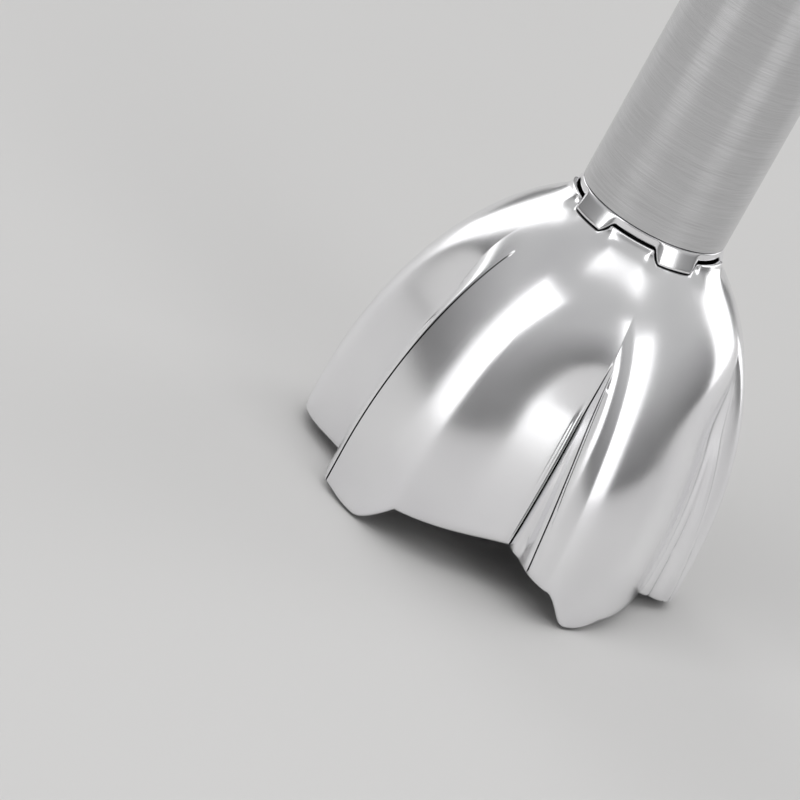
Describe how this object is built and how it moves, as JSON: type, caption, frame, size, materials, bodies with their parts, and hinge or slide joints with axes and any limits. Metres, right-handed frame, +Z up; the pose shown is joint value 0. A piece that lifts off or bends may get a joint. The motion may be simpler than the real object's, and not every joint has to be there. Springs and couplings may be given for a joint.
{
  "type": "immersion blender",
  "caption": "Stick blender with a pleated polished steel bell guard, a brushed flared tube and a lift-off motor handle with a speed dial.",
  "frame": {"origin": "on the main axis, in the plane of the five petal tips that the bell stands on", "axes": "+Z up the shaft to the dial, front of the handle with its buttons towards -Y"},
  "size_m": [0.0696, 0.0675, 0.3945],
  "materials": {
    "steel_polished": "mirror polished stainless steel",
    "steel_brushed": "circumferentially brushed stainless steel",
    "steel_blade": "ground stainless steel",
    "steel_machined": "turned steel",
    "trim_chrome": "bright plated ring",
    "bronze": "sintered bronze",
    "copper": "enamelled copper",
    "carbon": "pressed carbon",
    "laminate": "stacked electrical steel",
    "plastic_dark": "fine textured moulding",
    "plastic_grey": "satin moulding",
    "rubber": "soft matt overmould",
    "circuit_board": "solder mask"
  },
  "bodies": {
    "blending_shaft": {"bell_guard": "steel_polished", "shaft_collar": "steel_polished", "shaft_tube": "steel_brushed", "bearing_tower": "plastic_grey", "lower_bush": "bronze", "shaft_seal": "rubber", "seal_retainer": "steel_machined", "upper_bearing_plate": "plastic_grey", "upper_bush": "bronze", "coupling_socket": "plastic_dark", "socket_seal": "rubber"},
    "blade_drive": {"drive_shaft": "steel_machined", "blade_hub": "steel_machined", "blade": "steel_blade", "blade_nut": "steel_polished", "driven_dog": "plastic_grey"},
    "motor_unit": {"coupling_ring": "trim_chrome", "handle_front_shell": "plastic_dark", "handle_rear_shell": "plastic_dark", "soft_grip": "rubber", "top_cap": "plastic_dark", "cord_gland": "rubber", "stator": "laminate", "field_coil_left": "copper", "field_coil_right": "copper", "lower_bearing_bracket": "plastic_grey", "upper_bearing_bracket": "plastic_grey", "lower_bearing": "steel_machined", "upper_bearing": "steel_machined", "brush_holder_left": "bronze", "brush_holder_right": "bronze", "brush_left": "carbon", "brush_right": "carbon", "latch_frame": "plastic_grey", "control_board": "circuit_board", "power_switch": "plastic_dark", "turbo_switch": "plastic_dark", "button_carrier": "plastic_grey", "potentiometer": "plastic_grey", "housing_screw_1": "steel_machined", "housing_screw_2": "steel_machined", "housing_screw_3": "steel_machined", "housing_screw_4": "steel_machined"},
    "armature": {"motor_shaft": "steel_machined", "armature_core": "laminate", "winding_front": "copper", "winding_rear": "copper", "commutator": "copper", "fan": "plastic_grey", "drive_dog": "steel_machined"},
    "speed_dial": {"speed_dial": "plastic_grey"},
    "power_button": {"power_button": "trim_chrome", "power_button_spring": "steel_machined"},
    "turbo_button": {"turbo_button": "plastic_grey", "turbo_button_spring": "steel_machined"},
    "release_button_right": {"release_button_right": "plastic_grey", "release_spring_right": "steel_machined"},
    "release_button_left": {"release_button_left": "plastic_grey", "release_spring_left": "steel_machined"}
  },
  "joints": [
    {"name": "motor_unit_lift", "type": "slide", "parent": "blending_shaft", "child": "motor_unit", "axis": [0, 0, 1], "range_m": [0, 0.03]},
    {"name": "armature_spin", "type": "hinge", "parent": "motor_unit", "child": "armature", "pos_m": [0, 0, 0.27], "axis": [0, 0, 1], "continuous": true},
    {"name": "blade_spin", "type": "hinge", "parent": "blending_shaft", "child": "blade_drive", "pos_m": [0, 0, 0.1], "axis": [0, 0, 1], "continuous": true},
    {"name": "speed_dial_turn", "type": "hinge", "parent": "motor_unit", "child": "speed_dial", "pos_m": [0, 0, 0.386], "axis": [0, 0, 1], "range_deg": [0, 270]},
    {"name": "power_button_press", "type": "slide", "parent": "motor_unit", "child": "power_button", "axis": [0, 1, 0], "range_m": [0, 0.0025], "stiffness_N_per_m": 400, "springref_m": -0.001, "deforming": ["power_button_spring"]},
    {"name": "turbo_button_press", "type": "slide", "parent": "motor_unit", "child": "turbo_button", "axis": [0, 1, 0], "range_m": [0, 0.0025], "stiffness_N_per_m": 400, "springref_m": -0.001, "deforming": ["turbo_button_spring"]},
    {"name": "release_right_press", "type": "slide", "parent": "motor_unit", "child": "release_button_right", "axis": [-1, 0, 0], "range_m": [0, 0.002], "stiffness_N_per_m": 400, "springref_m": -0.001, "deforming": ["release_spring_right"]},
    {"name": "release_left_press", "type": "slide", "parent": "motor_unit", "child": "release_button_left", "axis": [1, 0, 0], "range_m": [0, 0.002], "stiffness_N_per_m": 400, "springref_m": -0.001, "deforming": ["release_spring_left"]}
  ],
  "couplings": [
    {"joint": "blade_spin", "follows": "armature_spin", "ratio": 1}
  ]
}
